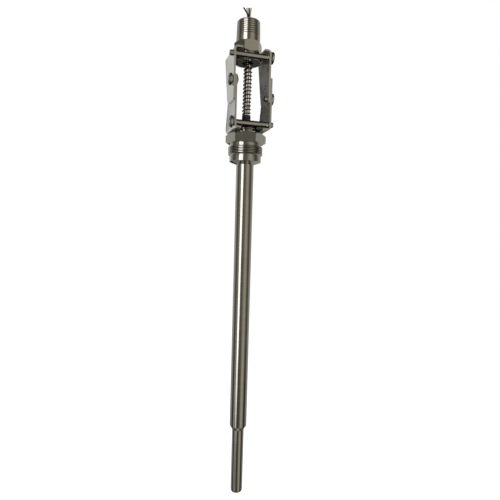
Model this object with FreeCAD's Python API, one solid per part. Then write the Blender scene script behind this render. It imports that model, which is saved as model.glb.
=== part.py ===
import FreeCAD, Part
import math
import os

# Spring-loaded resistance thermometer in a stepped thermowell, with a pinned sheet-metal yoke.
# Lengths are in millimetres. Z is the axis of the well and +Z points to the lead wires.
# The cross pins are at the front, which is -Y. Zero is the upper end of the process thread.

Vec = FreeCAD.Vector
up = Vec(0, 0, 1)

# Clearances
running_gap = 0.3        # between turned necks, flanges and the sheet that they turn in
pin_gap = 0.05           # pins in their holes and rings on their pins
leaf_gap = 0.05          # between two overlapped legs
sheath_gap = 0.35        # sheath in the well and in the nipple's guide
coil_gap = 0.08          # sheath in the spring, at the middle of a straight run
spring_room = 1.15       # spring in the nipple's bore
core_gap = 0.02          # powder core in the sheath, conductors in the core

# Sheet-metal yoke of two equal brackets
sheet = 1.6
bend_inside = 1.6
bracket_width = 33.4     # over the two legs
yoke_height = 68.9       # over the two webs
leg_length = 45.2        # from the web's outer face to the free end
pin_edge = 4.4           # from a pin's axis to the front edge
web_rear = 13.2          # rear edge at the web, behind the axis
leg_rear = 2.0           # rear edge at the free end, behind the axis
leg_front_corner = 1.5
leg_rear_corner = 6.0

# Pins
pin_dia = 4.76
head_dia = 10.2
head_height = 2.6
cross_pin_drop = 5.55    # from the web's outer face to the cross pin
cross_pin_tail = 3.9
pin_slack = 1.0          # every pin but the right side pin stands off its leg by this much
pin_end_edge = 4.05      # from a side pin's axis to the leg's free end
side_pin_tail = 2.8
ring_dia = 8.4
ring_thick = 0.9

# Turned ends that sit in the two slots
neck_dia = 19.0
flange_dia = 24.6
flange_length = 5.5

# Well
relief_dia = 28.6
relief_length = 2.6
process_thread_dia = 31.2
process_thread_length = 7.7
process_thread_chamfer = 0.8
groove_dia = 27.6
groove_length = 1.1
pilot_dia = 28.6
pilot_length = 4.6
well_cone_length = 2.4
shank_dia = 15.875
shank_length = 245.0
step_length = 3.8
tip_dia = 11.1
tip_length = 61.6
tip_chamfer = 1.6
tip_wall = 6.0
well_hex_flats = 31.75
well_hex_length = 8.6
well_hex_turn = 17.0     # the well can turn in the yoke, so its hex stands at its own angle
shoulder_dia = 25.4
shoulder_length = 1.55
bore_mouth = 0.8

# Connection nipple
nipple_hex_flats = 22.225
nipple_hex_length = 9.75
plain_neck_dia = 21.34
plain_neck_length = 5.6
taper_thread_length = 13.4
taper_ratio = 16.0       # one in sixteen on the diameter
guide_length = 16.0
spring_seat_depth = 9.0
wire_chamber_dia = 12.0

# Sensor insert
sheath_dia = 6.35
sheath_wall = 0.8
sheath_end_wall = 1.2
tip_clearance = 0.3      # sheath's end above the floor of the well
collar_dia = 7.8
collar_length = 7.1
collar_lift = 0.8        # above the well's flange
stop_ring_dia = 9.0
stop_ring_thick = 1.2
stop_ring_lift = 1.5     # above the guide while the tip is pressed home
sheath_over_ring = 1.0
element_dia = 3.2
element_length = 22.0
conductor_dia = 0.5
conductor_pitch = 1.7
seal_depth = 4.0
seal_rise = 1.0

# Spring
spring_wire = 0.55
spring_pitch = 3.3
spring_end_gap = 0.05
spring_runs_per_turn = 12

# Lead wires, trimmed level
lead_dia = 1.05
lead_pitch = 1.1
lead_rise = 12.3         # above the nipple's end
lead_straight = 5.2      # above the nipple's end, before the leads spread
lead_spread = {
    "lead_black": (-4.4, 0.9),
    "lead_grey": (-1.75, -0.7),
    "lead_brown": (0.6, 0.9),
    "lead_tan": (1.55, -0.6),
}

# Heights, worked up from the process thread
well_hex_low = relief_length
well_hex_high = well_hex_low + well_hex_length
shoulder_top = well_hex_high + shoulder_length
yoke_low = shoulder_top + running_gap
yoke_high = yoke_low + yoke_height
yoke_mid = (yoke_low + yoke_high) / 2
well_flange_low = yoke_low + sheet + running_gap
well_flange_high = well_flange_low + flange_length

nipple_flange_high = yoke_high - sheet - running_gap
nipple_flange_low = nipple_flange_high - flange_length
nipple_hex_low = yoke_high + running_gap
nipple_hex_high = nipple_hex_low + nipple_hex_length
taper_low = nipple_hex_high + plain_neck_length
nipple_top = taper_low + taper_thread_length
spring_seat = nipple_flange_low + spring_seat_depth
guide_top = spring_seat + guide_length

thread_low = -process_thread_length
groove_low = thread_low - groove_length
pilot_low = groove_low - pilot_length
cone_low = pilot_low - well_cone_length
shank_low = cone_low - shank_length
step_low = shank_low - step_length
well_end = step_low - tip_length
well_floor = well_end + tip_wall

sheath_low = well_floor + tip_clearance
collar_low = well_flange_high + collar_lift
collar_high = collar_low + collar_length
stop_ring_low = guide_top + stop_ring_lift
stop_ring_high = stop_ring_low + stop_ring_thick
sheath_high = stop_ring_high + sheath_over_ring
seal_low = sheath_high - seal_depth
seal_high = sheath_high + seal_rise
element_low = sheath_low + sheath_end_wall
element_high = element_low + element_length
lead_high = nipple_top + lead_rise

# Radii and places that follow from the pieces they fit
slot_radius = neck_dia / 2 + running_gap
pin_front = flange_dia / 2 + running_gap + pin_dia / 2
front_reach = pin_front + pin_edge
bracket_shift = (sheet + leaf_gap) / 2
side_pin_rise = leg_length - yoke_height / 2 - pin_end_edge
bore_radius = sheath_dia / 2 + sheath_gap
sheath_inside = sheath_dia / 2 - sheath_wall
spring_mean_radius = (sheath_dia / 2 + coil_gap + spring_wire / 2) / math.cos(math.pi / spring_runs_per_turn)
nipple_bore_radius = spring_mean_radius + spring_wire / 2 + spring_room


def turned(points):
    """Solid of revolution about Z from (radius, height) points that close on themselves."""
    outline = [Vec(r, 0, z) for r, z in points]
    outline.append(outline[0])
    return Part.Face(Part.makePolygon(outline)).revolve(Vec(0, 0, 0), up, 360)


def rod(radius, low, high):
    return Part.makeCylinder(radius, high - low, Vec(0, 0, low), up)


def tube(outer, inner, low, high):
    return rod(outer, low, high).cut(rod(inner, low, high))


def hexagon(flats, low, high, turn):
    """Hexagon along Z whose corners are turned down at 30 degrees on both faces."""
    corner = flats / math.sqrt(3)
    drop = (corner - flats / 2) * math.tan(math.radians(30))
    points = [Vec(corner * math.cos(a), corner * math.sin(a), low)
              for a in (math.radians(60 * k - turn) for k in range(7))]
    prism = Part.Face(Part.makePolygon(points)).extrude(up * (high - low))
    barrel = turned([(0, low), (flats / 2, low), (corner, low + drop),
                     (corner, high - drop), (flats / 2, high), (0, high)])
    return prism.common(barrel)


def make_thermowell():
    """Turned and drilled well: flange, neck, shoulder, hex, thread, pilot, shank and stepped tip."""
    flange = flange_dia / 2
    neck = neck_dia / 2
    thread = process_thread_dia / 2
    shank = shank_dia / 2
    tip = tip_dia / 2
    outline = [
        (0, well_flange_high),
        (flange, well_flange_high),
        (flange, well_flange_low),
        (neck, well_flange_low),
        (neck, shoulder_top),
        (shoulder_dia / 2, shoulder_top),
        (shoulder_dia / 2, well_hex_low),
        (relief_dia / 2, well_hex_low),
        (relief_dia / 2, 0),
        (thread, 0),
        (thread, thread_low + process_thread_chamfer),
        (thread - process_thread_chamfer, thread_low),
        (groove_dia / 2, thread_low),
        (groove_dia / 2, groove_low),
        (pilot_dia / 2, groove_low),
        (pilot_dia / 2, pilot_low),
        (shank, cone_low),
        (shank, shank_low),
        (tip, step_low),
        (tip, well_end + tip_chamfer),
        (tip - tip_chamfer, well_end),
        (0, well_end),
    ]
    body = turned(outline)
    body = body.fuse(hexagon(well_hex_flats, well_hex_low, well_hex_high, well_hex_turn))
    bore = turned([
        (0, well_floor),
        (bore_radius, well_floor),
        (bore_radius, well_flange_high - bore_mouth),
        (bore_radius + bore_mouth, well_flange_high),
        (0, well_flange_high),
    ])
    return body.cut(bore).removeSplitter()


def make_nipple():
    """Turned nipple: taper thread, plain neck, hex, neck and flange, bored for spring and leads."""
    flange = flange_dia / 2
    neck = neck_dia / 2
    plain = plain_neck_dia / 2
    small_end = plain - taper_thread_length / taper_ratio / 2
    outline = [
        (0, nipple_flange_low),
        (flange, nipple_flange_low),
        (flange, nipple_flange_high),
        (neck, nipple_flange_high),
        (neck, nipple_hex_low),
        (plain, nipple_hex_low),
        (plain, taper_low),
        (small_end, nipple_top),
        (0, nipple_top),
    ]
    body = turned(outline)
    body = body.fuse(hexagon(nipple_hex_flats, nipple_hex_low, nipple_hex_high, 0))
    spring_bore = rod(nipple_bore_radius, nipple_flange_low, spring_seat)
    guide = rod(bore_radius, spring_seat, guide_top)
    wire_chamber = rod(wire_chamber_dia / 2, guide_top, nipple_top)
    return body.cut(spring_bore).cut(guide).cut(wire_chamber).removeSplitter()


def bent_strip():
    """Upper bracket's folded section: a U with round bends, open downwards, as wide as the web is deep."""
    half = bracket_width / 2
    bend_outside = bend_inside + sheet
    free_end = yoke_high - leg_length
    low_bend = yoke_high - bend_outside
    swing = math.sqrt(0.5)

    def leg_and_bend(side, inset):
        radius = bend_outside - inset
        centre = Vec(side * (half - bend_outside), 0, low_bend)
        foot = Vec(side * (half - inset), 0, free_end)
        start = Vec(side * (half - inset), 0, low_bend)
        middle = centre + Vec(side * radius * swing, 0, radius * swing)
        finish = centre + Vec(0, 0, radius)
        leg = Part.LineSegment(foot, start).toShape()
        bend = Part.Arc(start, middle, finish).toShape()
        return foot, finish, [leg, bend]

    left_foot, left_top, left_edges = leg_and_bend(-1, 0)
    right_foot, right_top, right_edges = leg_and_bend(1, 0)
    left_in_foot, left_in_top, left_in_edges = leg_and_bend(-1, sheet)
    right_in_foot, right_in_top, right_in_edges = leg_and_bend(1, sheet)
    joins = [
        Part.LineSegment(left_top, right_top).toShape(),
        Part.LineSegment(right_foot, right_in_foot).toShape(),
        Part.LineSegment(right_in_top, left_in_top).toShape(),
        Part.LineSegment(left_in_foot, left_foot).toShape(),
    ]
    edges = left_edges + right_edges + left_in_edges + right_in_edges + joins
    section = Part.Face(Part.Wire(Part.__sortEdges__(edges)))
    section.translate(Vec(0, -front_reach, 0))
    return section.extrude(Vec(0, front_reach + web_rear, 0))


def leg_outline():
    """Side view of a bracket: straight front, rear edge that slants to the free end, round corners."""
    free_end = yoke_high - leg_length
    beyond = bracket_width
    corners = [
        Vec(-beyond, -front_reach, yoke_high),
        Vec(-beyond, -front_reach, free_end),
        Vec(-beyond, leg_rear, free_end),
        Vec(-beyond, web_rear, yoke_high - sheet - bend_inside),
        Vec(-beyond, web_rear, yoke_high),
    ]
    plate = Part.Face(Part.makePolygon(corners + corners[:1])).extrude(Vec(2 * beyond, 0, 0))

    def corner_edges(y):
        return [e for e in plate.Edges
                if e.BoundBox.XLength > beyond
                and abs(e.BoundBox.ZMin - free_end) < 1e-6
                and abs(e.BoundBox.YMin - y) < 1e-6]

    plate = plate.makeFillet(leg_front_corner, corner_edges(-front_reach))
    return plate.makeFillet(leg_rear_corner, corner_edges(leg_rear))


def cross_hole(height, start, length):
    return Part.makeCylinder(pin_dia / 2 + pin_gap, length, Vec(start, -pin_front, height), Vec(1, 0, 0))


def make_upper_bracket():
    """Folded bracket: slot open at the front, two cross-pin holes and a side-pin hole in each leg."""
    bracket = bent_strip().common(leg_outline())
    bracket.translate(Vec(-bracket_shift, 0, 0))
    web_low = yoke_high - 2 * sheet
    slot = rod(slot_radius, web_low, yoke_high + sheet)
    mouth = Part.makeBox(2 * slot_radius, 2 * front_reach, 3 * sheet,
                         Vec(-slot_radius, -2 * front_reach, web_low))
    bracket = bracket.cut(slot).cut(mouth)
    bracket = bracket.cut(cross_hole(yoke_high - cross_pin_drop, -bracket_width, 2 * bracket_width))
    bracket = bracket.cut(cross_hole(yoke_mid + side_pin_rise, -bracket_width, bracket_width))
    bracket = bracket.cut(cross_hole(yoke_mid - side_pin_rise, 0, bracket_width))
    return bracket.removeSplitter()


def headed_pin(grip, tail):
    """Pin along +Z with its head's seat at zero height, its head below and its tail past the grip."""
    shank = pin_dia / 2
    head = head_dia / 2
    end = grip + tail
    return turned([(0, -head_height), (head, -head_height), (head, 0), (shank, 0), (shank, end), (0, end)])


def make_upper_cross_pin():
    """Its head is at the right leg, short of it by the slack, and its tail stands out of the left leg."""
    pin = headed_pin(bracket_width, cross_pin_tail)
    pin.rotate(Vec(0, 0, 0), Vec(0, 1, 0), -90)
    pin.translate(Vec(bracket_width / 2 - bracket_shift + pin_slack, -pin_front, yoke_high - cross_pin_drop))
    return pin


def make_left_side_pin(slack):
    """Its head is at the left outer leg, short of it by the slack, and its tail passes both legs."""
    pin = headed_pin(2 * sheet + leaf_gap, side_pin_tail)
    pin.rotate(Vec(0, 0, 0), Vec(0, 1, 0), 90)
    pin.translate(Vec(-bracket_width / 2 - bracket_shift - slack, -pin_front, yoke_mid + side_pin_rise))
    return pin


def make_left_pin_ring():
    """Ring pushed on to the side pin's tail, flat against the inner leg."""
    ring = tube(ring_dia / 2, pin_dia / 2 + pin_gap, 0, ring_thick)
    ring.rotate(Vec(0, 0, 0), Vec(0, 1, 0), 90)
    inner_face = -bracket_width / 2 + bracket_shift + sheet
    ring.translate(Vec(inner_face, -pin_front, yoke_mid + side_pin_rise))
    return ring


def half_turned(shape):
    """The yoke repeats after half a turn about the front-to-back line at its mid-height."""
    twin = shape.copy()
    twin.rotate(Vec(0, 0, yoke_mid), Vec(0, 1, 0), 180)
    return twin


def make_spring():
    """Open coil from the collar to the seat in the nipple, in short straight runs of square wire."""
    low = collar_high + spring_end_gap + spring_wire / 2
    high = spring_seat - spring_end_gap - spring_wire / 2
    runs = math.ceil((high - low) / spring_pitch * spring_runs_per_turn)
    rise = (high - low) / runs
    step = 2 * math.pi / spring_runs_per_turn
    points = [Vec(spring_mean_radius * math.cos(step * k), spring_mean_radius * math.sin(step * k), low + rise * k)
              for k in range(runs + 1)]
    outward = Vec(1, 0, 0) * (spring_wire / 2)
    upward = up * (spring_wire / 2)
    section = Part.makePolygon([points[0] + v for v in (outward, upward, -outward, -upward, outward)])
    return Part.makePolygon(points).makePipeShell([section], True, False, 1)


def make_sheath():
    """Closed tube with a bevelled end."""
    outer = sheath_dia / 2
    return turned([
        (0, sheath_low),
        (outer - sheath_wall, sheath_low),
        (outer, sheath_low + sheath_wall),
        (outer, sheath_high),
        (sheath_inside, sheath_high),
        (sheath_inside, element_low),
        (0, element_low),
    ])


def square_of_four(pitch):
    half = pitch / 2
    return [(-half, half), (-half, -half), (half, half), (half, -half)]


def make_insulation():
    core = rod(sheath_inside - core_gap, element_high, seal_low)
    for x, y in square_of_four(conductor_pitch):
        hole = rod(conductor_dia / 2 + core_gap, element_high, seal_low)
        hole.translate(Vec(x, y, 0))
        core = core.cut(hole)
    return core


def make_conductors():
    wires = []
    for x, y in square_of_four(conductor_pitch):
        wire = rod(conductor_dia / 2, element_high, seal_low)
        wire.translate(Vec(x, y, 0))
        wires.append(wire)
    return Part.Compound(wires)


def make_lead(start, spread):
    """Lead wire: straight out of the seal, a sharp knee, then straight to its trimmed end."""
    x, y = start
    foot = Vec(x, y, seal_high)
    knee = Vec(x, y, nipple_top + lead_straight)
    tip = Vec(spread[0], spread[1], lead_high)
    turn = up.getAngle(tip - knee)
    section = Part.Wire(Part.makeCircle(lead_dia / 2, foot, up))
    lead = Part.makePolygon([foot, knee, tip]).makePipeShell([section], True, False, 1)
    over = Part.makeBox(4 * lead_dia, 4 * lead_dia, lead_dia,
                        tip - Vec(2 * lead_dia, 2 * lead_dia, lead_dia * math.sin(turn) / 2))
    return lead.cut(over)


def all_pieces():
    upper_bracket = make_upper_bracket()
    upper_cross_pin = make_upper_cross_pin()
    pieces = {
        "thermowell": make_thermowell(),
        "lower_bracket": half_turned(upper_bracket),
        "upper_bracket": upper_bracket,
        "lower_cross_pin": half_turned(upper_cross_pin),
        "upper_cross_pin": upper_cross_pin,
        "left_side_pin": make_left_side_pin(pin_slack),
        "right_side_pin": half_turned(make_left_side_pin(0)),
        "left_pin_ring": make_left_pin_ring(),
        "connection_nipple": make_nipple(),
        "compression_spring": make_spring(),
        "stop_collar": tube(collar_dia / 2, sheath_dia / 2, collar_low, collar_high),
        "probe_sheath": make_sheath(),
        "sheath_stop_ring": tube(stop_ring_dia / 2, sheath_dia / 2, stop_ring_low, stop_ring_high),
        "platinum_element": rod(element_dia / 2, element_low, element_high),
        "mineral_insulation": make_insulation(),
        "element_conductors": make_conductors(),
        "lead_seal": rod(sheath_inside, seal_low, seal_high),
    }
    starts = square_of_four(lead_pitch)
    for (name, spread), start in zip(lead_spread.items(), starts):
        pieces[name] = make_lead(start, spread)
    return pieces


os.makedirs("parts", exist_ok=True)
for node, shape in all_pieces().items():
    print(node, "valid" if shape.isValid() else "NOT VALID", len(shape.Solids), round(shape.Volume, 1))
    shape.exportStep("parts/" + node + ".step")
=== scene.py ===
import math
import bmesh
import bpy
import numpy as np
from mathutils import Matrix, Vector


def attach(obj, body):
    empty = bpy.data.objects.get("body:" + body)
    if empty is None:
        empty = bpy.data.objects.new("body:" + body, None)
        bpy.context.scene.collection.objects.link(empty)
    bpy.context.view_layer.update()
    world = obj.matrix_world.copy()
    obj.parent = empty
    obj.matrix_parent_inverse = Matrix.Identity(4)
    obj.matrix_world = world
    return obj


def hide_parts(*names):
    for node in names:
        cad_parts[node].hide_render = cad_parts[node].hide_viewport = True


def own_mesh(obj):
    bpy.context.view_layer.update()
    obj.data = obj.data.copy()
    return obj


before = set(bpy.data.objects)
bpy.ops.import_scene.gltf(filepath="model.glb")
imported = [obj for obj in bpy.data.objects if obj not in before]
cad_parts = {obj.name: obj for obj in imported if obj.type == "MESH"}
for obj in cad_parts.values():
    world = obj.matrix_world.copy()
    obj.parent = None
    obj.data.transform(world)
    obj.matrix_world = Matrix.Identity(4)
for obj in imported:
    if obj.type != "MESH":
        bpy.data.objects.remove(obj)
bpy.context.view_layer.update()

mm = 0.001
print("frame loaded:", len(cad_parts), "nodes")


# A share from 0 to 1 with level ends: 3 s^2 - 2 s^3
def smoothStep(share):
    return share ** 2 * (3 - 2 * share)


# Corners of outlines: points on a bend, the most of a side that a bend takes up, and the place of one more
# point on each side, in bend lengths, which keeps the shading of the straight run straight
rounding = dict(steps=4, sideShare=0.35, runOut=1.3)


# Each corner of an open (radius, height) outline gives way to a parabola that starts and ends "soft" along
# the corner's two sides
def softened(corners, soft):
    p = np.array(corners, float)
    before, here, after = p[:-2], p[1:-1], p[2:]
    lengthIn = np.linalg.norm(here - before, axis=1, keepdims=True)
    lengthOut = np.linalg.norm(after - here, axis=1, keepdims=True)
    sideIn = (before - here) / lengthIn * np.minimum(soft, rounding["sideShare"] * lengthIn)
    sideOut = (after - here) / lengthOut * np.minimum(soft, rounding["sideShare"] * lengthOut)
    t = np.linspace(0, 1, rounding["steps"])[None, :, None]
    bends = here[:, None] + (1 - t) ** 2 * sideIn[:, None] + t ** 2 * sideOut[:, None]
    first, last = ((here + rounding["runOut"] * side)[:, None] for side in (sideIn, sideOut))
    rows = np.concatenate([first, bends, last], 1)
    return np.vstack([p[:1], rows.reshape(-1, 2), p[-1:]])


# The same for an outline that closes on itself
def closedOutline(corners, soft):
    ringed = [corners[-1]] + list(corners) + [corners[0]]
    return softened(ringed, soft)[1:-1]


def roundAngles(count, startDegrees=0.0):
    return np.linspace(0, 2 * np.pi, count, endpoint=False) + math.radians(startDegrees)


# Outline turned about Z: x = r cos(angle), y = r sin(angle), where r may also change with the angle
def turnedGrid(radii, heights, angles):
    r = radii if radii.ndim == 2 else radii[:, None]
    r, z, a = np.broadcast_arrays(r, heights[:, None], angles[None, :])
    return np.stack([r * np.cos(a), r * np.sin(a), z], -1) * mm


# Rows of points become quads; columns always close, rows close on themselves or get a flat cap at each end
def gridMesh(name, grid, closedRows=False):
    rows, cols = grid.shape[:2]
    index = np.arange(rows * cols).reshape(rows, cols)
    near = index if closedRows else index[:-1]
    far = np.roll(index, -1, 0) if closedRows else index[1:]
    quads = np.stack([near, np.roll(near, -1, 1), np.roll(far, -1, 1), far], -1).reshape(-1, 4)
    caps = [] if closedRows else [index[0][::-1].tolist(), index[-1].tolist()]
    mesh = bpy.data.meshes.new(name)
    mesh.from_pydata(grid.reshape(-1, 3).tolist(), [], quads.tolist() + caps)
    shell = bmesh.new()
    shell.from_mesh(mesh)
    bmesh.ops.recalc_face_normals(shell, faces=shell.faces)
    shell.to_mesh(mesh)
    shell.free()
    mesh.shade_smooth()
    return mesh


# One number from 0 to 1 at each point of a mesh, for its material to read
def markPoints(mesh, label, shares):
    layer = mesh.attributes.new(label, "FLOAT", "POINT")
    layer.data.foreach_set("value", shares.ravel().astype(np.float32))


def placeObject(name, data):
    placed = bpy.data.objects.new(name, data)
    bpy.context.scene.collection.objects.link(placed)
    return placed


def addPiece(mesh, body, material, node, sharpDegrees=28):
    mesh.set_sharp_from_angle(angle=math.radians(sharpDegrees))
    piece = placeObject(mesh.name, mesh)
    mesh.materials.append(material)
    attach(piece, body)
    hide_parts(node)
    return piece


# A node group with Vector and Scale inputs, further number inputs with their values, and number outputs
def newGroup(name, outputs, **numbers):
    group = bpy.data.node_groups.new(name, "ShaderNodeTree")
    group.interface.new_socket("Vector", in_out="INPUT", socket_type="NodeSocketVector")
    group.interface.new_socket("Scale", in_out="INPUT", socket_type="NodeSocketFloat")
    for label, value in numbers.items():
        socket = group.interface.new_socket(label, in_out="INPUT", socket_type="NodeSocketFloat")
        socket.default_value = value
    for label in outputs:
        group.interface.new_socket(label, in_out="OUTPUT", socket_type="NodeSocketFloat")
    return group, group.nodes.new("NodeGroupInput"), group.nodes.new("NodeGroupOutput")


def setOrLink(tree, socket, value):
    if isinstance(value, (int, float)):
        socket.default_value = value
    else:
        tree.links.new(value, socket)


def mathNode(tree, operation, *values, clamp=False):
    node = tree.nodes.new("ShaderNodeMath")
    node.operation = operation
    node.use_clamp = clamp
    for socket, value in zip(node.inputs, values):
        setOrLink(tree, socket, value)
    return node.outputs[0]


def noiseNode(tree, vector, scale, detail, roughness=0.55):
    node = tree.nodes.new("ShaderNodeTexNoise")
    node.inputs["Detail"].default_value = detail
    node.inputs["Roughness"].default_value = roughness
    tree.links.new(vector, node.inputs["Vector"])
    setOrLink(tree, node.inputs["Scale"], scale)
    return node.outputs["Fac"]


def splitAxes(tree, vector):
    node = tree.nodes.new("ShaderNodeSeparateXYZ")
    tree.links.new(vector, node.inputs[0])
    return node.outputs


def joinAxes(tree, **axes):
    node = tree.nodes.new("ShaderNodeCombineXYZ")
    for axis, value in axes.items():
        tree.links.new(value, node.inputs[axis])
    return node.outputs[0]


# Fine noise gives a group's Height and broad noise its Streak, both on the same coordinates
def drawMarks(group, into, out, coords, marks):
    broadScale = mathNode(group, "MULTIPLY", into.outputs["Scale"], marks["broadShare"])
    fine = noiseNode(group, coords, into.outputs["Scale"], marks["detail"], marks["roughness"])
    broad = noiseNode(group, coords, broadScale, marks["broadDetail"])
    group.links.new(fine, out.inputs["Height"])
    group.links.new(broad, out.inputs["Streak"])


lathe = dict(detail=4.0, roughness=0.6, broadShare=0.12, broadDetail=2.0)


# Lathe marks: noise on (distance from the axis, height), so every mark is a circle round Z
def makeLatheMarks(marks):
    group, into, out = newGroup("latheMarks", ["Height", "Streak"])
    split = splitAxes(group, into.outputs["Vector"])
    squares = [mathNode(group, "MULTIPLY", split[axis], split[axis]) for axis in "XY"]
    distance = mathNode(group, "SQRT", mathNode(group, "ADD", *squares))
    drawMarks(group, into, out, joinAxes(group, X=distance, Z=split["Z"]), marks)
    return group


rolled = dict(stretch=0.04, detail=3.0, roughness=0.55, broadShare=0.15, broadDetail=2.0)


# Rolled sheet grain: noise drawn out along Z
def makeSheetGrain(marks):
    group, into, out = newGroup("sheetGrain", ["Height", "Streak"], Stretch=marks["stretch"])
    split = splitAxes(group, into.outputs["Vector"])
    drawn = mathNode(group, "MULTIPLY", split["Z"], into.outputs["Stretch"])
    drawMarks(group, into, out, joinAxes(group, X=split["X"], Y=split["Y"], Z=drawn), marks)
    return group


handled = dict(detail=4.0, roughness=0.6, low=0.3, high=0.7)


# Handling marks: soft cloudy noise, spread to a share between 0 and 1
def makeSmudges(marks):
    group, into, out = newGroup("smudges", ["Cloud"])
    vector, scale = into.outputs["Vector"], into.outputs["Scale"]
    spread = group.nodes.new("ShaderNodeMapRange")
    spread.inputs["From Min"].default_value = marks["low"]
    spread.inputs["From Max"].default_value = marks["high"]
    cloud = noiseNode(group, vector, scale, marks["detail"], marks["roughness"])
    group.links.new(cloud, spread.inputs["Value"])
    group.links.new(spread.outputs["Result"], out.inputs["Cloud"])
    return group


latheMarks = makeLatheMarks(lathe)
sheetGrain = makeSheetGrain(rolled)
smudges = makeSmudges(handled)


def newMaterial(name):
    material = bpy.data.materials.new(name)
    material.use_nodes = True
    tree = material.node_tree
    coords = tree.nodes.new("ShaderNodeTexCoord").outputs["Object"]
    return material, tree, tree.nodes["Principled BSDF"], coords


def placeGroup(tree, group, coords, scale):
    node = tree.nodes.new("ShaderNodeGroup")
    node.node_tree = group
    node.inputs["Scale"].default_value = scale
    tree.links.new(coords, node.inputs["Vector"])
    return node.outputs


def mixColours(tree, share, first, second):
    node = tree.nodes.new("ShaderNodeMix")
    node.data_type = "RGBA"
    tree.links.new(share, node.inputs["Factor"])
    ends = [socket for socket in node.inputs if socket.type == "RGBA"]
    for socket, colour in zip(ends, (first, second)):
        if isinstance(colour, tuple):
            socket.default_value = (*colour, 1)
        else:
            tree.links.new(colour, socket)
    return next(socket for socket in node.outputs if socket.type == "RGBA")


def mapShare(tree, share, low, high):
    node = tree.nodes.new("ShaderNodeMapRange")
    tree.links.new(share, node.inputs["Value"])
    node.inputs["To Min"].default_value = low
    node.inputs["To Max"].default_value = high
    return node.outputs["Result"]


markDepth = 0.02 * mm  # the deepest that a mark's relief goes


def bumpNormal(tree, height, strength):
    node = tree.nodes.new("ShaderNodeBump")
    node.inputs["Strength"].default_value = strength
    node.inputs["Distance"].default_value = markDepth
    tree.links.new(height, node.inputs["Height"])
    return node.outputs["Normal"]


# Shares of streaks and clouds in the tone, the clouds' scale, and the dark tone that painted shade mixes
# towards
metalLook = dict(streakShare=0.5, cloudShare=0.5, cloudScale=90.0, paintedShade=(0.035, 0.033, 0.03))


# Metal: marks and clouds set its tone, clouds its roughness, marks its relief; painted shade kept at the
# points darkens it
def metal(name, marks, markScale, bump, rough, pale, deep):
    material, tree, shader, coords = newMaterial(name)
    grain = placeGroup(tree, marks, coords, markScale)
    cloud = placeGroup(tree, smudges, coords, metalLook["cloudScale"])["Cloud"]
    streaks = mathNode(tree, "MULTIPLY", grain["Streak"], metalLook["streakShare"])
    clouds = mathNode(tree, "MULTIPLY", cloud, metalLook["cloudShare"])
    unshaded = mixColours(tree, mathNode(tree, "ADD", streaks, clouds, clamp=True), deep, pale)
    # The attribute is painted shade: 0 keeps the steel's tone, 1 paints it the dark shade tone
    paintedShade = tree.nodes.new("ShaderNodeAttribute")
    paintedShade.attribute_name = "paintedShade"
    wornAndShaded = mixColours(tree, paintedShade.outputs["Fac"], unshaded, metalLook["paintedShade"])
    tree.links.new(wornAndShaded, shader.inputs["Base Color"])
    tree.links.new(mapShare(tree, cloud, *rough), shader.inputs["Roughness"])
    tree.links.new(bumpNormal(tree, grain["Height"], bump), shader.inputs["Normal"])
    shader.inputs["Metallic"].default_value = 1.0
    return material


# Marks that run round a piece spread its highlights along its axis, given here in the piece's own space
def spreadAlong(material, axis, amount):
    tree = material.node_tree
    turn = tree.nodes.new("ShaderNodeVectorTransform")
    turn.vector_type = "VECTOR"
    turn.convert_from, turn.convert_to = "OBJECT", "WORLD"
    turn.inputs[0].default_value = axis
    shader = tree.nodes["Principled BSDF"]
    shader.inputs["Anisotropic"].default_value = amount
    tree.links.new(turn.outputs[0], shader.inputs["Tangent"])


plasticLook = dict(bump=0.15, gloss=0.5, dullGloss=0.1, cloudScale=500.0, powderScale=1500.0)


# Plastic, ceramic and resin: clouds set the tone, the roughness and a faint relief
def plastic(name, rough, pale, deep, gloss=plasticLook["gloss"], cloudScale=plasticLook["cloudScale"]):
    material, tree, shader, coords = newMaterial(name)
    cloud = placeGroup(tree, smudges, coords, cloudScale)["Cloud"]
    tree.links.new(mixColours(tree, cloud, deep, pale), shader.inputs["Base Color"])
    tree.links.new(mapShare(tree, cloud, *rough), shader.inputs["Roughness"])
    tree.links.new(bumpNormal(tree, cloud, plasticLook["bump"]), shader.inputs["Normal"])
    shader.inputs["Specular IOR Level"].default_value = gloss
    return material


turnedSteel = metal("turnedSteel", latheMarks, markScale=2600.0, bump=0.25, rough=(0.10, 0.15),
                    pale=(0.64, 0.63, 0.60), deep=(0.53, 0.52, 0.485))
nippleSteel = metal("nippleSteel", latheMarks, markScale=2600.0, bump=0.3, rough=(0.11, 0.17),
                    pale=(0.64, 0.62, 0.59), deep=(0.53, 0.51, 0.475))
sheetSteel = metal("sheetSteel", sheetGrain, markScale=2200.0, bump=0.3, rough=(0.24, 0.34),
                   pale=(0.70, 0.695, 0.685), deep=(0.57, 0.565, 0.55))
# A lit copy of sheetSteel, painted paler: painted light for the upper bracket, whose left leg is the outer,
# lit one
litSheetSteel = metal("litSheetSteel", sheetGrain, markScale=2200.0, bump=0.3, rough=(0.24, 0.34),
                       pale=(0.80, 0.795, 0.78), deep=(0.66, 0.655, 0.64))
pinSteel = metal("pinSteel", sheetGrain, markScale=1800.0, bump=0.15, rough=(0.14, 0.20),
                 pale=(0.70, 0.69, 0.65), deep=(0.58, 0.57, 0.53))
spreadAlong(pinSteel, axis=(1, 0, 0), amount=0.6)
springSteel = metal("springSteel", sheetGrain, markScale=1500.0, bump=0.1, rough=(0.22, 0.32),
                    pale=(0.085, 0.083, 0.077), deep=(0.05, 0.049, 0.046))
sheathSteel = metal("sheathSteel", sheetGrain, markScale=2000.0, bump=0.15, rough=(0.10, 0.15),
                    pale=(0.74, 0.73, 0.70), deep=(0.64, 0.63, 0.60))
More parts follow.
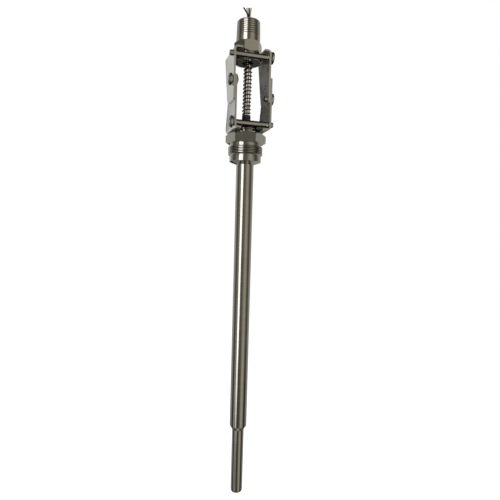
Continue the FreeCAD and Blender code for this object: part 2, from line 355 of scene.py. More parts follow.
collarBlack = metal("collarBlack", latheMarks, markScale=1800.0, bump=0.3, rough=(0.32, 0.45),
                    pale=(0.075, 0.074, 0.072), deep=(0.035, 0.035, 0.034))
conductorCopper = metal("conductorCopper", sheetGrain, markScale=2500.0, bump=0.1, rough=(0.25, 0.35),
                        pale=(0.80, 0.52, 0.36), deep=(0.66, 0.40, 0.27))
ceramicWhite = plastic("ceramicWhite", rough=(0.5, 0.65), pale=(0.86, 0.85, 0.81), deep=(0.78, 0.77, 0.73))
powderWhite = plastic("powderWhite", rough=(0.75, 0.9), pale=(0.90, 0.89, 0.86), deep=(0.80, 0.79, 0.76),
                      cloudScale=plasticLook["powderScale"])
sealResin = plastic("sealResin", rough=(0.35, 0.5), pale=(0.09, 0.09, 0.088), deep=(0.05, 0.05, 0.05))
sleeveBlack = plastic("sleeveBlack", rough=(0.55, 0.7), pale=(0.010, 0.0095, 0.0095),
                      deep=(0.005, 0.005, 0.005), gloss=plasticLook["dullGloss"])
sleeveGrey = plastic("sleeveGrey", rough=(0.38, 0.5), pale=(0.50, 0.48, 0.43), deep=(0.42, 0.40, 0.36))
sleeveBrown = plastic("sleeveBrown", rough=(0.38, 0.5), pale=(0.11, 0.056, 0.028), deep=(0.066, 0.035, 0.018),
                      gloss=plasticLook["dullGloss"])
sleeveTan = plastic("sleeveTan", rough=(0.38, 0.5), pale=(0.56, 0.43, 0.325), deep=(0.48, 0.365, 0.275))
print("materials made:", len(bpy.data.materials))


hexForm = dict(coneDegrees=30.0, coneRun=1.05, steps=7)
threadForm = dict(rootShare=0.08, perPitch=20)


# Hexagon across flats f: r = (f / 2) / cos(angle from the nearest flat's middle)
def hexRadius(angles, flats, turnDegrees):
    fromFlat = np.mod(angles + math.radians(turnDegrees), math.pi / 3) - math.pi / 6
    return flats / 2 / np.cos(fromFlat)


# Both faces of the hex are turned to a cone, so r is the least of hexagon, lower cone and upper cone
def hexRows(angles, flats, low, high, turnDegrees):
    fall = math.tan(math.radians(hexForm["coneDegrees"]))
    drop = (flats / math.sqrt(3) - flats / 2) * fall * hexForm["coneRun"]
    rise = np.linspace(0, drop, hexForm["steps"])
    z = np.concatenate([low + rise, high - rise[::-1]])
    cone = flats / 2 + np.minimum(z - low, high - z) / fall
    r = np.minimum(hexRadius(angles, flats, turnDegrees)[None, :], cone[:, None])
    return r, z, 0 * r


# Thread: crest radius less depth times a triangle wave of (height / pitch - angle / full turn) with flats at
# crest and root, faded out over a short run at either end; the groove share also paints shade into the roots
def threadRows(angles, low, high, crestLow, crestHigh, thread):
    z = np.linspace(low, high, int((high - low) / thread["pitch"] * threadForm["perPitch"]) + 1)
    crest = crestLow + (crestHigh - crestLow) * (z - low) / (high - low)
    wave = np.abs(2 * np.mod(z[:, None] / thread["pitch"] - angles[None, :] / (2 * np.pi), 1) - 1)
    root = threadForm["rootShare"]
    groove = 1 - np.clip((wave - root) / (1 - root - thread["crestShare"]), 0, 1)
    fade = np.clip((z - low) / thread["fadeLow"], 0, 1) * np.clip((high - z) / thread["fadeHigh"], 0, 1)
    groove = groove * fade[:, None]
    return crest[:, None] - thread["depth"] * groove, z, thread["paintedShade"] * groove


def plainRows(outline, angles):
    r = np.repeat(outline[:, :1], len(angles), 1)
    return r, outline[:, 1], 0 * r


def stackRows(*parts):
    radii, heights, paintedShades = zip(*parts)
    return np.vstack(radii), np.concatenate(heights), np.vstack(paintedShades)


def turnedPiece(name, parts, angles, closedRows=False):
    radii, heights, paintedShades = stackRows(*parts)
    mesh = gridMesh(name, turnedGrid(radii, heights, angles), closedRows)
    # Each point keeps its share of painted shade for the metal to read
    markPoints(mesh, "paintedShade", paintedShades)
    return mesh


# The thread's share is painted shade in its roots; the neck share is painted shade on the flange, neck and
# shoulder
well = dict(columns=192, soft=0.18, boreRadius=3.525, boreMouth=0.8, floor=-320.2, flangeTop=20.45,
            flangeLow=14.95, flangeRadius=12.3, flangeChamfer=0.6, neckRadius=9.5, shoulderRadius=12.7,
            shoulderTop=12.75, hexFlats=31.75, hexLow=2.6, hexHigh=11.2, hexTurn=17.0, reliefRadius=14.3,
            reliefSoft=0.1, threadRadius=15.6, threadHigh=0.0, threadLow=-7.7, highChamfer=0.35,
            thread=dict(pitch=1.411, depth=0.7, crestShare=0.35, fadeLow=0.9, fadeHigh=0.9, paintedShade=0.7),
            lowChamfer=0.8, grooveRadius=13.8, grooveLow=-8.8, pilotRadius=14.3, pilotLow=-13.4,
            coneLow=-15.8, shankRadius=7.9375, shankLow=-260.8, stepLow=-264.6, tipRadius=5.55, end=-326.2,
            tipRound=2.2, tipSteps=9, neckShade=0.35, shadeMargin=1.0)


# From the bore's floor up through the flange and down the outside to the rounded tip
def makeWell(w):
    angles = roundAngles(w["columns"], -w["hexTurn"])
    top = softened([(w["boreRadius"], w["floor"]), (w["boreRadius"], w["flangeTop"] - w["boreMouth"]),
                    (w["boreRadius"] + w["boreMouth"], w["flangeTop"]),
                    (w["flangeRadius"] - w["flangeChamfer"], w["flangeTop"]),
                    (w["flangeRadius"], w["flangeTop"] - w["flangeChamfer"]),
                    (w["flangeRadius"], w["flangeLow"]), (w["neckRadius"], w["flangeLow"]),
                    (w["neckRadius"], w["shoulderTop"]), (w["shoulderRadius"], w["shoulderTop"]),
                    (w["shoulderRadius"], w["hexHigh"])], w["soft"])
    upper = plainRows(top, angles)
    # Painted shade on the flange's side and underside, the neck and the shoulder, short of the bore and
    # flange top
    outside = top[:, 0] > w["boreRadius"] + w["shadeMargin"]
    upper[2][outside & (top[:, 1] < w["flangeTop"] - w["shadeMargin"])] = w["neckShade"]
    hexed = hexRows(angles, w["hexFlats"], w["hexLow"], w["hexHigh"], w["hexTurn"])
    reliefLip = w["reliefRadius"] + w["reliefSoft"]
    relief = softened([(reliefLip, w["hexLow"]), (w["reliefRadius"], w["hexLow"]),
                       (w["reliefRadius"], w["threadHigh"]), (reliefLip, w["threadHigh"])], w["reliefSoft"])
    threadR, threadZ, paintedShade = threadRows(angles, w["threadLow"], w["threadHigh"], w["threadRadius"],
                                         w["threadRadius"], w["thread"])
    ends = w["threadRadius"] + np.minimum(threadZ - w["threadLow"] - w["lowChamfer"],
                                          w["threadHigh"] - threadZ - w["highChamfer"])
    threaded = np.minimum(threadR, ends[:, None]), threadZ, paintedShade
    lower = softened([(w["threadRadius"] - w["lowChamfer"], w["threadLow"]),
                      (w["grooveRadius"], w["threadLow"]), (w["grooveRadius"], w["grooveLow"]),
                      (w["pilotRadius"], w["grooveLow"]), (w["pilotRadius"], w["pilotLow"]),
                      (w["shankRadius"], w["coneLow"]), (w["shankRadius"], w["shankLow"]),
                      (w["tipRadius"], w["stepLow"]), (w["tipRadius"], w["end"] + w["tipRound"])], w["soft"])
    turn = np.linspace(0, np.pi / 2, w["tipSteps"])[1:]
    tip = np.stack([w["tipRadius"] - w["tipRound"] * (1 - np.cos(turn)),
                    w["end"] + w["tipRound"] * (1 - np.sin(turn))], 1)
    downHex, downThread = ([rows[::-1] for rows in part] for part in (hexed, threaded))
    relief, lower, tip = (plainRows(outline, angles) for outline in (relief, lower, tip))
    mesh = turnedPiece("thermowell_body", [upper, downHex, relief, downThread, lower, tip], angles)
    addPiece(mesh, "well", turnedSteel, "thermowell")


makeWell(well)

# The thread's share is painted shade in its roots
nipple = dict(columns=192, soft=0.15, flangeLow=74.55, flangeHigh=80.05, flangeRadius=12.3, flangeChamfer=0.6,
              neckRadius=9.5, hexFlats=22.225, hexLow=82.25, hexHigh=92.0, hexTurn=0.0, hexStep=1.2,
              hexLip=0.2, plainRadius=10.67, taperLow=97.6, top=111.0, taper=16.0, endChamfer=0.9,
              thread=dict(pitch=1.814, depth=0.5, crestShare=0.6, fadeLow=0.8, fadeHigh=0.01, paintedShade=0.5),
              endStep=0.3, chamberRadius=6.0, guideTop=99.55, guideRadius=3.525, seat=83.55, springBore=5.08,
              boreEdge=0.2)


# From the spring's bore round the flange, up the outside to the threaded end and back down the inside
def makeNipple(n):
    angles = roundAngles(n["columns"])
    small = n["plainRadius"] - (n["top"] - n["taperLow"]) / n["taper"] / 2
    lower = softened([(n["springBore"], n["flangeLow"]),
                      (n["flangeRadius"] - n["flangeChamfer"], n["flangeLow"]),
                      (n["flangeRadius"], n["flangeLow"] + n["flangeChamfer"]),
                      (n["flangeRadius"], n["flangeHigh"]), (n["neckRadius"], n["flangeHigh"]),
                      (n["neckRadius"], n["hexLow"]),
                      (n["neckRadius"] + n["hexStep"], n["hexLow"])], n["soft"])
    hexed = hexRows(angles, n["hexFlats"], n["hexLow"], n["hexHigh"], n["hexTurn"])
    plain = softened([(n["plainRadius"] + n["hexLip"], n["hexHigh"]), (n["plainRadius"], n["hexHigh"]),
                      (n["plainRadius"], n["taperLow"])], n["soft"])[:-1]
    threadR, threadZ, paintedShade = threadRows(angles, n["taperLow"], n["top"], n["plainRadius"], small,
                                         n["thread"])
    ends = small - n["endChamfer"] + n["top"] - threadZ
    threaded = np.minimum(threadR, ends[:, None]), threadZ, paintedShade
    inner = softened([(small - n["endChamfer"] - n["endStep"], n["top"]), (n["chamberRadius"], n["top"]),
                      (n["chamberRadius"], n["guideTop"]), (n["guideRadius"], n["guideTop"]),
                      (n["guideRadius"], n["seat"]), (n["springBore"], n["seat"]),
                      (n["springBore"], n["flangeLow"] + n["boreEdge"])], n["soft"])
    lower, plain, inner = (plainRows(outline, angles) for outline in (lower, plain, inner))
    mesh = turnedPiece("nipple_body", [lower, hexed, plain, threaded, inner], angles, closedRows=True)
    addPiece(mesh, "nipple", nippleSteel, "connection_nipple")


makeNipple(nipple)
print("well and nipple made")


# Sheath and spring lean a little to the right between the collar and the nipple: heights and shifts along x
lean = dict(heights=(28.4, 60.0, 68.0, 75.5, 90.0), shifts=(0.0, 0.42, 0.42, 0.26, 0.0))


def leaned(grid):
    shifted = grid.copy()
    shifted[..., 0] += np.interp(grid[..., 2] / mm, lean["heights"], lean["shifts"]) * mm
    return shifted


sheath = dict(columns=72, outer=3.0, inner=2.375, low=-319.9, high=103.25, endWall=1.2, chamfer=0.8,
              pole=0.05, leanLow=20.0, leanHigh=96.0, leanRows=52)


# A closed tube: up the outside and down the bore, with rows where the tube leans
def makeSheath(s):
    floor = s["low"] + s["endWall"]
    rises = np.linspace(s["leanLow"], s["leanHigh"], s["leanRows"])
    end = [(s["pole"], s["low"]), (s["outer"] - s["chamfer"], s["low"]),
           (s["outer"], s["low"] + s["chamfer"])]
    wall = [(s["outer"], z) for z in rises]
    rim = [(s["outer"], s["high"]), (s["inner"], s["high"])]
    bore = [(s["inner"], z) for z in rises[::-1]]
    outline = np.array(end + wall + rim + bore + [(s["inner"], floor), (s["pole"], floor)])
    grid = leaned(turnedGrid(*outline.T, roundAngles(s["columns"])))
    addPiece(gridMesh("sheath_tube", grid), "insert", sheathSteel, "probe_sheath")


makeSheath(sheath)

spring = dict(low=28.40, high=83.50, meanRadius=3.60, wireRadius=0.42, pitch=3.3, perTurn=44, around=14,
              endShare=0.055, samples=4001, sharpDegrees=50, travel=8.0)


# Round wire on a helix: centre + wire radius (cos a outward + sin a across). Over a share of the turns at
# either end the pitch falls smoothly to the wire's width, so the climb is summed up from the pitch
def makeSpring(s):
    low, high = s["low"] + s["wireRadius"], s["high"] - s["wireRadius"]
    fine = np.linspace(0, 1, s["samples"])
    closed = 2 * s["wireRadius"] / s["pitch"]
    rate = closed + (1 - closed) * smoothStep(np.clip(np.minimum(fine, 1 - fine) / s["endShare"], 0, 1))
    climbed = np.concatenate([[0], np.cumsum((rate[1:] + rate[:-1]) / 2)])
    turns = (high - low) / s["pitch"] / climbed[-1] * (s["samples"] - 1)
    share = np.linspace(0, 1, int(turns * s["perTurn"]))
    z = low + (high - low) * np.interp(share, fine, climbed / climbed[-1])
    phi = 2 * np.pi * turns * share
    outward = np.stack([np.cos(phi), np.sin(phi), 0 * phi], -1)
    along = np.stack([-s["meanRadius"] * np.sin(phi), s["meanRadius"] * np.cos(phi), np.gradient(z, phi)], -1)
    along /= np.linalg.norm(along, axis=1, keepdims=True)
    across = np.cross(along, outward)
    centre = outward * s["meanRadius"] + np.stack([0 * z, 0 * z, z], -1)
    a = roundAngles(s["around"])[None, :, None]
    grid = centre[:, None] + s["wireRadius"] * (np.cos(a) * outward[:, None] + np.sin(a) * across[:, None])
    mesh = gridMesh("spring_coil", leaned(grid * mm))
    piece = addPiece(mesh, "nipple", springSteel, "compression_spring", s["sharpDegrees"])
    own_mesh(piece)


makeSpring(spring)


# An outline turned about Z is laid along X: height becomes x, and the sign gives the way the head looks
def layAlongX(grid, sign, x, y, z):
    return np.stack([x * mm + sign * grid[..., 2], y * mm + sign * grid[..., 0], z * mm + grid[..., 1]], -1)


yoke = dict(low=13.05, high=81.95, width=33.4, shift=0.825, pinFront=-14.98)
# The pins' shade shares are painted shade: head core and face, the tail's end, and rim and shank away from a
# narrow front band, which is left as a painted highlight
pin = dict(columns=64, soft=0.12, poleRadius=0.4, shankRadius=2.38, headRadius=5.1, headHeight=2.6,
           coreRadius=2.5, faceFall=0.7, headRim=1.75, rimStep=0.2, tailChamfer=0.5, crossTail=3.9,
           sideGrip=3.25, sideTail=2.8, slack=1.0, crossDrop=5.55, sideRise=6.7, coreShade=0.45,
           coreMargin=0.05, faceShade=0.95, faceMargin=0.02, tailShade=0.75, tailShare=0.9, sideShade=0.95,
           litHalf=10.0, shadedHalf=42.0, frontDrop=15.0)


# Head: a flat core and a face that falls a little to the rim, then the shank and a bevelled tail; painted
# shade darkens the face and the tail's end, the core less so
def pinOutline(p, grip, tail):
    rim, top, end = p["headRadius"], p["headHeight"], grip + tail
    outline = softened([(p["poleRadius"], -top), (p["coreRadius"], -top),
                        (rim - p["rimStep"], p["faceFall"] - top), (rim, -p["headRim"]), (rim, 0),
                        (p["shankRadius"], 0), (p["shankRadius"], end - p["tailChamfer"]),
                        (p["shankRadius"] - p["tailChamfer"], end), (p["poleRadius"], end)], p["soft"])
    height = outline[:, 1]
    cored = height < p["coreMargin"] - top
    faced = (height < -p["headRim"] - p["faceMargin"]) & ~cored
    tailed = height > end - p["tailShare"] * p["tailChamfer"]
    return outline, p["coreShade"] * cored + p["faceShade"] * faced + p["tailShade"] * tailed


# Painted shade on rim and shank: none in a narrow band at the front, turned a little down towards the camera,
# then growing with the angle from there, so the pin shows a painted highlight along its length
def sideShade(p, angles, sign):
    front = math.radians(p["frontDrop"]) * sign + (math.pi if sign > 0 else 0)
    away = np.degrees(np.abs(np.mod(angles - front + math.pi, 2 * math.pi) - math.pi))
    return p["sideShade"] * np.clip((away - p["litHalf"]) / (p["shadedHalf"] - p["litHalf"]), 0, 1)


# Each pin: outline and painted shade, the way it looks, the x of its head's seat and its height
def makePins(p, y):
    middle, half = (y["low"] + y["high"]) / 2, y["width"] / 2
    angles = roundAngles(p["columns"])
    cross = pinOutline(p, y["width"], p["crossTail"])
    side = pinOutline(p, p["sideGrip"], p["sideTail"])
    plan = [("upper_cross_pin", cross, -1, half - y["shift"] + p["slack"], y["high"] - p["crossDrop"]),
            ("lower_cross_pin", cross, 1, y["shift"] - half - p["slack"], y["low"] + p["crossDrop"]),
            ("left_side_pin", side, 1, -half - y["shift"] - p["slack"], middle + p["sideRise"]),
            ("right_side_pin", side, -1, half + y["shift"], middle - p["sideRise"])]
    for node, (outline, paintedShade), sign, x, z in plan:
        grid = layAlongX(turnedGrid(*outline.T, angles), sign, x, y["pinFront"], z)
        mesh = gridMesh(node + "_steel", grid)
        markPoints(mesh, "paintedShade", np.maximum(paintedShade[:, None], sideShade(p, angles, sign)[None, :]))
        addPiece(mesh, "yoke", pinSteel, node)


makePins(pin, yoke)

ring = dict(columns=56, outer=4.2, inner=2.43, thick=0.9, soft=0.25, paintedShade=0.6)


# The ring sits on the left side pin, against the inner face of the legs; painted shade darkens it all over
def makeRing(r, p, y):
    corners = [(r["inner"], 0), (r["outer"], 0), (r["outer"], r["thick"]), (r["inner"], r["thick"])]
    outline = closedOutline(corners, r["soft"])
    x = p["sideGrip"] - y["width"] / 2 - y["shift"]
    z = (y["low"] + y["high"]) / 2 + p["sideRise"]
    grid = layAlongX(turnedGrid(*outline.T, roundAngles(r["columns"])), 1, x, y["pinFront"], z)
    mesh = gridMesh("left_pin_ring_steel", grid, closedRows=True)
    markPoints(mesh, "paintedShade", np.full(grid.shape[:2], r["paintedShade"]))
    addPiece(mesh, "yoke", pinSteel, "left_pin_ring")


makeRing(ring, pin, yoke)

collar = dict(columns=72, outer=3.9, inner=3.175, low=21.25, high=28.35, chamfer=0.45, soft=0.15)


def makeCollar(c):
    outline = closedOutline([(c["inner"], c["low"]), (c["outer"] - c["chamfer"], c["low"]),
                             (c["outer"], c["low"] + c["chamfer"]), (c["outer"], c["high"] - c["chamfer"]),
                             (c["outer"] - c["chamfer"], c["high"]), (c["inner"], c["high"])], c["soft"])
    mesh = gridMesh("collar_dark", turnedGrid(*outline.T, roundAngles(c["columns"])), closedRows=True)
    addPiece(mesh, "insert", collarBlack, "stop_collar")


makeCollar(collar)
print("sheath, spring, pins, ring and collar made")


# Foot and tip are places in plan; all four leads start at one height and bend at one knee
leads = dict(low=104.25, knee=116.2, bend=0.5, around=20, along=64, sleeves={
    "lead_black": dict(radius=0.78, foot=(-0.90, -1.15), tip=(-5.15, -1.0), top=122.0, plastic=sleeveBlack),
    "lead_grey": dict(radius=1.0, foot=(-0.70, 0.85), tip=(-1.40, 0.85), top=123.1, plastic=sleeveGrey),
    "lead_brown": dict(radius=0.65, foot=(0.60, -0.25), tip=(0.15, -0.25), top=123.0, plastic=sleeveBrown),
    "lead_tan": dict(radius=0.65, foot=(1.15, 1.15), tip=(1.85, -0.30), top=123.2, plastic=sleeveTan)})


# Each lead goes from foot to tip with a soft ramp of its height: ramp = bend * ln(1 + exp((z - knee) / bend))
def makeLeads(l):
    a = roundAngles(l["around"])
    for node, sleeve in l["sleeves"].items():
        z = np.linspace(l["low"], sleeve["top"], l["along"])[:, None]
        ramp = l["bend"] * np.logaddexp(0, (z - l["knee"]) / l["bend"])
        x, y = (foot + (tip - foot) * ramp / ramp[-1] for foot, tip in zip(sleeve["foot"], sleeve["tip"]))
        grid = np.stack([x + sleeve["radius"] * np.cos(a), y + sleeve["radius"] * np.sin(a), z + 0 * a], -1)
        addPiece(gridMesh(node + "_sleeve", grid * mm), "insert", sleeve["plastic"], node)


makeLeads(leads)
print("lead wires made")


# The upper bracket takes the paler, lit copy of the sheet steel: painted light
bracket = dict(sheets={"lower_bracket": sheetSteel, "upper_bracket": litSheetSteel}, mergeDistance=1e-6,
               flatDegrees=0.5, edge=0.26, segments=2, edgeDegrees=40)


# A copy of the folded sheet, its facets joined where they are flat, then every sharp edge broken
def makeBrackets(b):
    for node, steel in b["sheets"].items():
        shell = bmesh.new()
        shell.from_mesh(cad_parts[node].data)
        bmesh.ops.remove_doubles(shell, verts=shell.verts, dist=b["mergeDistance"])
        flat = math.radians(b["flatDegrees"])
        bmesh.ops.dissolve_limit(shell, angle_limit=flat, verts=shell.verts, edges=shell.edges)
        mesh = bpy.data.meshes.new(node + "_sheet")
        shell.to_mesh(mesh)
        shell.free()
        mesh.shade_smooth()
        piece = addPiece(mesh, "yoke", steel, node)
        wornAndShaded = piece.modifiers.new("wornAndShaded", "BEVEL")
        wornAndShaded.width = b["edge"] * mm
        wornAndShaded.segments = b["segments"]
        wornAndShaded.limit_method = "ANGLE"
        wornAndShaded.angle_limit = math.radians(b["edgeDegrees"])
        wornAndShaded.harden_normals = True


makeBrackets(bracket)
print("brackets made")

# Solids inside the part keep their CAD shape and get a finish
finishes = {"sheath_stop_ring": sheathSteel, "platinum_element": ceramicWhite,
            "mineral_insulation": powderWhite, "element_conductors": conductorCopper, "lead_seal": sealResin}
for node, material in finishes.items():
    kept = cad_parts[node]
    kept.data.materials.clear()
    kept.data.materials.append(material)


# Camera: angles in degrees, distance and offsets in mm, lens and sensor in mm, clip range in metres
view = dict(azimuth=17.0, tilt=3.78, roll=1.60, distance=393.84, aside=6.8, middle=-93.7, lens=30.55,
            sensor=36.0, clip=(0.01, 50.0))
# Floor and room in metres, with the tones that they show
studio = dict(floorLevel=-0.84, floorSize=6.0, floorTone=0.8, floorGlow=0.62, ambient=0.55, roomRadius=0.52,
              roomLow=-0.82, roomHigh=0.54, hubRadius=0.001, layerGap=0.004, roundSteps=121, glowSteps=61,
              wallTone=(0.025, 0.024, 0.019), ceilingTone=(0.19, 0.19, 0.18), bottomTone=(0.10, 0.10, 0.09),
              spotRadius=0.16, spotHub=0.002, spotRings=13, spotTone=(0.34, 0.335, 0.30))
# Soft glows on the room's wall: left and right edges at the top in degrees from the camera's side (right is
# positive), the same at the foot where they differ, foot and top heights in metres, the shares of half the
# width and half the height over which the edges fade, and the tone
glows = {
    "upperWall": dict(edges=(-180, 180), rise=(-0.50, 0.90), fade=(0.02, 0.40), tone=(0.060, 0.056, 0.045)),
    "windowStrip": dict(edges=(-49.1, -0.7), footEdges=(-44.6, -23.8), rise=(-0.60, 0.80), fade=(0.3, 0.43),
                        tone=(1.9, 1.9, 1.86)),
    "lowStrip": dict(edges=(-46, -18), rise=(-0.80, -0.40), fade=(0.6, 0.16), tone=(0.30, 0.295, 0.26)),
    "leftGlow": dict(edges=(-80, -40), rise=(-0.80, 0.50), fade=(1.0, 0.16), tone=(0.19, 0.185, 0.155)),
    "leftLow": dict(edges=(-80, -40), rise=(-0.90, -0.20), fade=(1.0, 0.8), tone=(0.17, 0.166, 0.14)),
    "frontGlow": dict(edges=(-24, 24), rise=(-0.80, 0.50), fade=(1.0, 0.16), tone=(0.05, 0.048, 0.04)),
    "warmGlow": dict(edges=(2, 82), rise=(-0.80, 0.50), fade=(1.0, 0.16), tone=(0.34, 0.315, 0.25)),
    "warmLow": dict(edges=(2, 82), rise=(-0.90, -0.25), fade=(1.0, 0.7), tone=(0.09, 0.084, 0.066)),
    "rightRear": dict(edges=(84, 200), rise=(-0.80, 0.50), fade=(0.8, 0.16), tone=(0.34, 0.335, 0.31)),
    "leftRear": dict(edges=(-185, -84), rise=(-0.80, 0.50), fade=(0.8, 0.16), tone=(0.34, 0.335, 0.31))}
# Upright panels behind and beside the yoke: two ends in plan, foot and top heights in metres, and the tone;
# the dark ones are painted shadow, sheets seen only in reflections that stand in for the shade behind and
# under the yoke
panels = {
    "yokeShadowSheet": dict(ends=((-0.016, 0.050), (0.004, 0.050)), rise=(-0.040, 0.112), tone=(0.02, 0.02, 0.015)),
    "rearShadowSheet": dict(ends=((-0.022, 0.032), (-0.013, 0.032)), rise=(0.015, 0.090), tone=(0.012, 0.012, 0.01)),
    "rightShadowSheet": dict(ends=((0.030, 0.016), (0.030, 0.055)), rise=(0.015, 0.090), tone=(0.012, 0.012, 0.01)),
    "underShadowSheet": dict(ends=((0.004, 0.050), (0.030, 0.050)), rise=(0.020, 0.072), tone=(0.05, 0.05, 0.045)),
    "leftBounce": dict(ends=((-0.054, 0.060), (-0.022, 0.060)), rise=(-0.040, 0.112), tone=(0.7, 0.7, 0.69))}
lamps = {"keyLamp": dict(place=(-0.55, -0.75, 0.75), aim=(0, 0, -0.05), size=0.5, power=9.0),
         "fillLamp": dict(place=(0.8, -0.5, 0.6), aim=(0, 0, -0.1), size=0.6, power=4.0)}


def bareMaterial(name):
    material = bpy.data.materials.new(name)
    material.use_nodes = True
    material.node_tree.nodes.clear()
    return material, material.node_tree


def showShaders(tree, *shaders):
    surface = tree.nodes.new("ShaderNodeOutputMaterial").inputs["Surface"]
    if len(shaders) == 1:
        tree.links.new(shaders[0].outputs[0], surface)
        return
    both = tree.nodes.new("ShaderNodeAddShader")
    for shader, socket in zip(shaders, both.inputs):
        tree.links.new(shader.outputs[0], socket)
    tree.links.new(both.outputs[0], surface)


# Emission, or emission that fades by the "glow" of each point and lets through what lies behind it
def glowMaterial(name, tone, fades):
    material, tree = bareMaterial(name)
    glow = tree.nodes.new("ShaderNodeEmission")
    glow.inputs["Color"].default_value = (*tone, 1)
    if not fades:
        showShaders(tree, glow)
        return material
    share = tree.nodes.new("ShaderNodeAttribute")
    share.attribute_name = "glow"
    tree.links.new(share.outputs["Fac"], glow.inputs["Strength"])
    showShaders(tree, glow, tree.nodes.new("ShaderNodeBsdfTransparent"))
    return material


# A sheet of quads that only reflections see
def addCard(name, grid, tone, share=None):
    rows, cols = grid.shape[:2]
    index = np.arange(rows * cols).reshape(rows, cols)
    quads = np.stack([index[:-1, :-1], index[:-1, 1:], index[1:, 1:], index[1:, :-1]], -1).reshape(-1, 4)
    mesh = bpy.data.meshes.new(name)
    mesh.from_pydata(grid.reshape(-1, 3).tolist(), [], quads.tolist())
    if share is not None:
        markPoints(mesh, "glow", share)
    mesh.materials.append(glowMaterial(name, tone, share is not None))
    card = placeObject(name, mesh)
    card.visible_camera = False
    card.visible_diffuse = False
    card.visible_shadow = False


# Part of a cylinder round Z: angles from the camera's side, heights and a radius
def wallGrid(degrees, heights, radius):
    angles = np.radians(degrees - 90 - view["azimuth"])
    a, z = np.broadcast_arrays(angles, np.asarray(heights)[:, None])
    return np.stack([np.cos(a) * radius, np.sin(a) * radius, z], -1)


# 1 in the middle of a run from -1 to 1, falling smoothly to 0 over the given share at either end
def faded(run, edge):
    return smoothStep(np.clip((1 - np.abs(run)) / edge, 0, 1))


# A round wall, a ceiling, a bottom and a soft spot on the bottom
def makeRoom(room):
    low, high, radius = room["roomLow"], room["roomHigh"], room["roomRadius"]
    allRound = np.linspace(-180, 180, room["roundSteps"])[None, :]
    addCard("roomWall", wallGrid(allRound, [low, high], radius), room["wallTone"])
    for name, level, tone in (("roomCeiling", high, "ceilingTone"), ("roomBottom", low, "bottomTone")):
        circles = [wallGrid(allRound, [level], reach) for reach in (room["hubRadius"], radius)]
        addCard(name, np.concatenate(circles), room[tone])
    shares = np.linspace(room["spotHub"], 1, room["spotRings"])
    level = low + room["layerGap"]
    circles = [wallGrid(allRound, [level], room["spotRadius"] * share) for share in shares]
    fade = np.repeat(faded(shares, 1.0)[:, None], allRound.size, 1)
    addCard("bottomSpot", np.concatenate(circles), room["spotTone"], fade)


# Each glow hangs one layer further in than the one before it
def makeGlows(room):
    run = np.linspace(-1, 1, room["glowSteps"])
    climb = (1 + run[:, None]) / 2
    for layer, (name, glow) in enumerate(glows.items(), 1):
        footEdges = glow.get("footEdges", glow["edges"])
        left, right = (below + (above - below) * climb for below, above in zip(footEdges, glow["edges"]))
        degrees = (left + right) / 2 + (right - left) / 2 * run[None, :]
        foot, top = glow["rise"]
        heights = np.minimum((foot + top) / 2 + (top - foot) / 2 * run, room["roomHigh"])
        sideFade, endFade = glow["fade"]
        share = faded(run, endFade)[:, None] * faded(run, sideFade)[None, :]
        grid = wallGrid(degrees, heights, room["roomRadius"] - room["layerGap"] * layer)
        addCard(name, grid, glow["tone"], share)


def makePanels():
    for name, panel in panels.items():
        grid = np.array([[(*end, z) for end in panel["ends"]] for z in panel["rise"]])
        addCard(name, grid, panel["tone"])


makeRoom(studio)
makeGlows(studio)
makePanels()


# 1 where the camera, a reflection or a view through glass meets the surface, else 0
def seenShare(tree):
    path = tree.nodes.new("ShaderNodeLightPath")
    share = mathNode(tree, "MAXIMUM", path.outputs["Is Camera Ray"], path.outputs["Is Glossy Ray"])
    return mathNode(tree, "MAXIMUM", share, path.outputs["Is Transmission Ray"])


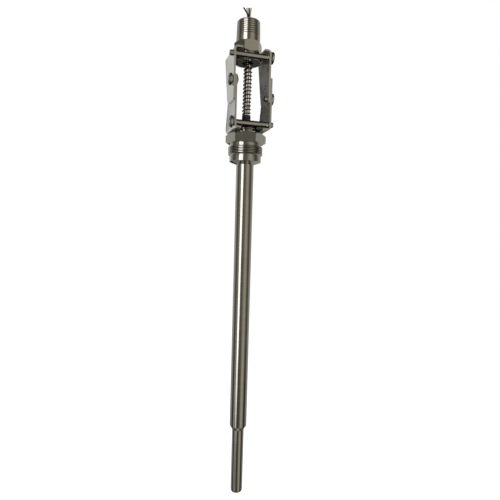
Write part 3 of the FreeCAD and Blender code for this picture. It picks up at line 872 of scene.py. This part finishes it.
def makeFloor(room):
    half, z = room["floorSize"] / 2, room["floorLevel"]
    corners = [(-half, -half, z), (half, -half, z), (half, half, z), (-half, half, z)]
    mesh = bpy.data.meshes.new("floor")
    mesh.from_pydata(corners, [], [(0, 1, 2, 3)])
    material, tree = bareMaterial("paleFloor")
    matte = tree.nodes.new("ShaderNodeBsdfDiffuse")
    matte.inputs["Color"].default_value = (room["floorTone"], room["floorTone"], room["floorTone"], 1)
    glow = tree.nodes.new("ShaderNodeEmission")
    tree.links.new(mathNode(tree, "MULTIPLY", seenShare(tree), room["floorGlow"]), glow.inputs["Strength"])
    showShaders(tree, matte, glow)
    mesh.materials.append(material)
    placeObject("floor", mesh)


makeFloor(studio)


# White where it is seen, dimmer as light on the part
def makeWorld(room):
    world = bpy.data.worlds.new("paleStudio")
    bpy.context.scene.world = world
    world.use_nodes = True
    tree = world.node_tree
    back = tree.nodes["Background"]
    back.inputs["Color"].default_value = (1, 1, 1, 1)
    tree.links.new(mapShare(tree, seenShare(tree), room["ambient"], 1.0), back.inputs["Strength"])


makeWorld(studio)


def addLamp(name, plan):
    lamp = bpy.data.lights.new(name, "AREA")
    lamp.size = plan["size"]
    lamp.energy = plan["power"]
    holder = placeObject(name, lamp)
    holder.location = plan["place"]
    direction = Vector(plan["place"]) - Vector(plan["aim"])
    holder.rotation_euler = direction.to_track_quat("Z", "Y").to_euler()
    holder.visible_camera = False
    holder.visible_glossy = False


for name, plan in lamps.items():
    addLamp(name, plan)


# Right, up and ahead from azimuth, downward tilt and roll; the camera's place from its distance and offsets
def makeCamera(v):
    a, t, r = (math.radians(v[k]) for k in ("azimuth", "tilt", "roll"))
    side = np.array([math.cos(a), -math.sin(a), 0])
    level = np.array([math.sin(a), math.cos(a), 0])
    upright = np.array([0, 0, 1.0])
    high = upright * math.cos(t) + level * math.sin(t)
    ahead = level * math.cos(t) - upright * math.sin(t)
    back = v["distance"] + v["middle"] * math.sin(t)
    place = v["aside"] * side - back * ahead + v["middle"] * math.cos(t) * high
    right = side * math.cos(r) + high * math.sin(r)
    top = high * math.cos(r) - side * math.sin(r)
    lens = bpy.data.cameras.new("camera")
    lens.sensor_width = v["sensor"]
    lens.lens = v["lens"]
    lens.clip_start, lens.clip_end = v["clip"]
    camera = placeObject("camera", lens)
    camera.matrix_world = Matrix([*zip(right, top, -ahead, place * mm), (0, 0, 0, 1)])
    bpy.context.scene.camera = camera


makeCamera(view)
bpy.context.scene.view_settings.view_transform = "Standard"
print("studio and camera made")
